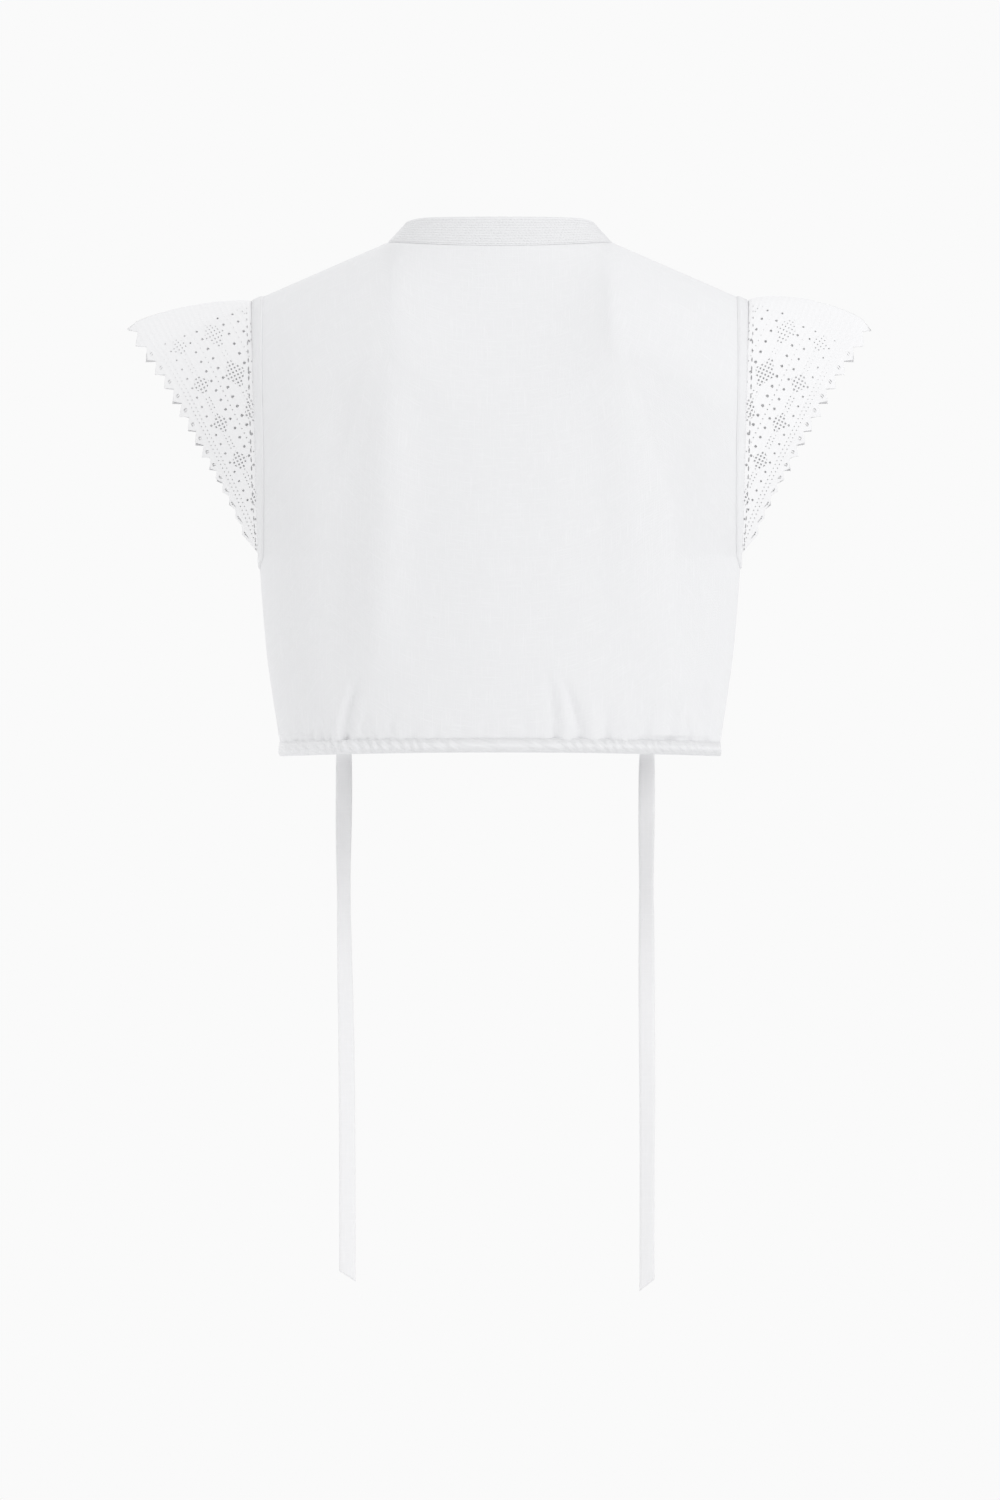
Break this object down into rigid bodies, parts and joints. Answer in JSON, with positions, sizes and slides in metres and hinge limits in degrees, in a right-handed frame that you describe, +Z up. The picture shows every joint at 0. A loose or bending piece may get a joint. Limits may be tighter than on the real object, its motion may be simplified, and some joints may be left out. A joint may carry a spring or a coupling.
{
  "type": "dirndl blouse",
  "caption": "Short white blouse with a stand collar, open lace cap sleeves, a buttoned front and a gathered hem with tie tapes, in its hollow worn form.",
  "frame": {"origin": "middle of the neck, level with the collar seam at the centre of the back, where the wearer's neck and shoulders hold the blouse", "axes": "+Z up, +Y the way the wearer faces, so the buttoned front is at +Y and the plain back at -Y, +X towards the wearer's right"},
  "size_m": [0.559, 0.246, 0.8067],
  "materials": {
    "cotton": "matte woven",
    "lace": "matte cotton lace",
    "tape": "soft woven tape",
    "button": "polished shell look"
  },
  "bodies": {
    "root": {"back": "cotton", "front_left": "cotton", "front_right": "cotton", "collar": "cotton", "casing_back": "cotton", "casing_front_left": "cotton", "casing_front_right": "cotton", "armhole_band_left": "cotton", "armhole_band_right": "cotton", "button_band": "cotton", "sleeve_left": "lace", "sleeve_right": "lace", "tie_left": "tape", "tie_right": "tape", "button_1": "button", "button_2": "button", "button_3": "button", "button_4": "button", "button_5": "button", "button_collar": "button"}
  },
  "joints": []
}
